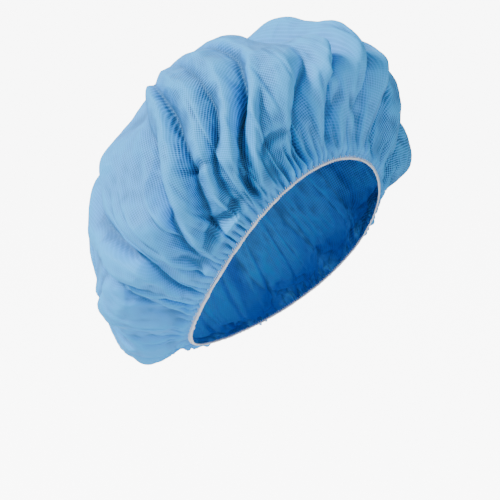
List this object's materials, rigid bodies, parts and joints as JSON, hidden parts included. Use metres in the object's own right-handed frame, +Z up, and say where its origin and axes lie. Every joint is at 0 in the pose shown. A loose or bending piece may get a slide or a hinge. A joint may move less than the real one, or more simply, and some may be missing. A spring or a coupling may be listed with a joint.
{
  "type": "disposable bouffant cap",
  "caption": "Gathered hair cap of thin light-blue nonwoven cloth, puffed out as worn, with a narrow white elastic edge.",
  "frame": {"origin": "middle of the rim opening, halfway between its front and back ends", "axes": "-Y is the way the wearer looks, +Z is up with the head upright, +X is the wearer's left"},
  "size_m": [0.2528, 0.2238, 0.2607],
  "materials": {
    "nonwoven_cloth": "matte, thin, embossed with small dots",
    "white_elastic": "matte, overlocked"
  },
  "bodies": {
    "root": {"crown": "nonwoven_cloth", "elastic_band": "white_elastic"}
  },
  "joints": []
}
